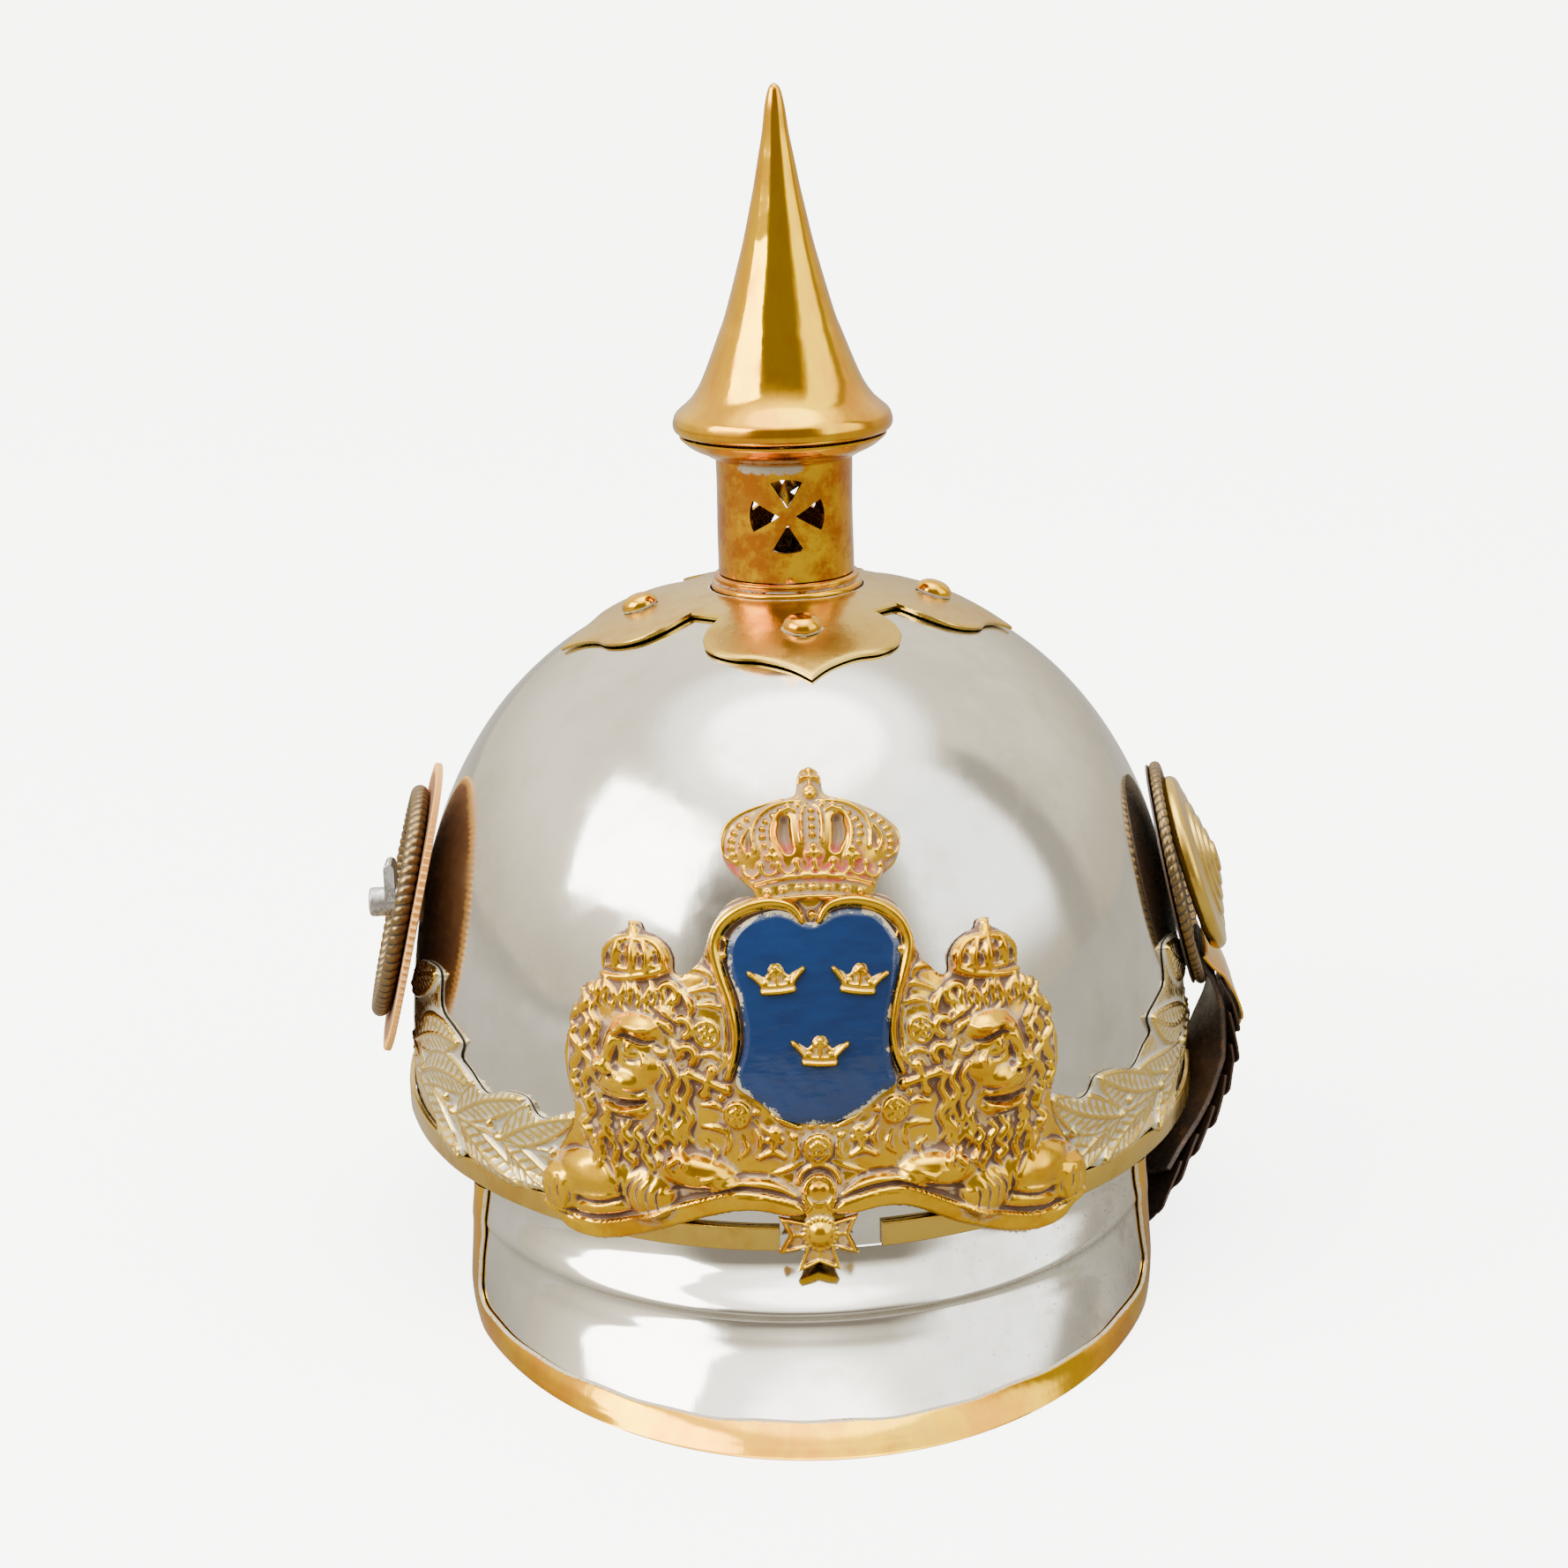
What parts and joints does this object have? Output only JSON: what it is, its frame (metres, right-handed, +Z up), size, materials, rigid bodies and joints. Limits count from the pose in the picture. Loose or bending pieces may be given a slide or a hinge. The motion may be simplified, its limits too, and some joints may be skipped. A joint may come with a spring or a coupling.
{
  "type": "spiked cavalry helmet",
  "caption": "Spiked parade helmet in white metal with brass fittings: crowned relief plate, enamelled shield, side rosettes and a hanging strap of chin scales.",
  "frame": {"origin": "centre of the object's box at floor level, under the skull", "axes": "+Z up, the front of the helmet faces -Y, the wearer's left is +X"},
  "size_m": [0.216, 0.296, 0.2784],
  "materials": {
    "white_metal": "polished nickel silver, warm and lightly tarnished",
    "brass": "polished stamped brass, worn gilding",
    "aged_brass": "dull dark bronze with a twisted rim",
    "steel": "bright, brushed",
    "laurel_metal": "stamped relief, gilt edges over silvery hollows",
    "dark_leather": "worn dark brown, dusty",
    "tan_leather": "natural tan with a pale pinked edge",
    "enamel": "deep blue glass enamel, glossy"
  },
  "bodies": {
    "root": {"skull": "white_metal", "visor": "white_metal", "neck_guard": "white_metal", "skull_band": "brass", "visor_trim": "brass", "neck_trim": "brass", "cross_plate": "brass", "stud_front": "brass", "stud_left": "brass", "stud_back": "brass", "stud_right": "brass", "neck_collar": "brass", "vent_neck": "brass", "spike_dish": "brass", "spike": "brass", "front_plate": "brass", "crown_badge": "brass", "field_crown_1": "brass", "field_crown_2": "brass", "field_crown_3": "brass", "order_star": "brass", "boss_right": "brass", "chin_scale_1": "brass", "chin_scale_2": "brass", "chin_scale_3": "brass", "chin_scale_4": "brass", "chin_scale_5": "brass", "chin_scale_6": "brass", "chin_scale_7": "brass", "chin_scale_8": "brass", "rope_disc_left": "aged_brass", "rope_disc_right": "aged_brass", "post_left": "steel", "laurel_right": "laurel_metal", "laurel_left": "laurel_metal", "backing_disc": "dark_leather", "strap_leather": "dark_leather", "leather_disc": "tan_leather", "enamel_shield": "enamel"}
  },
  "joints": []
}
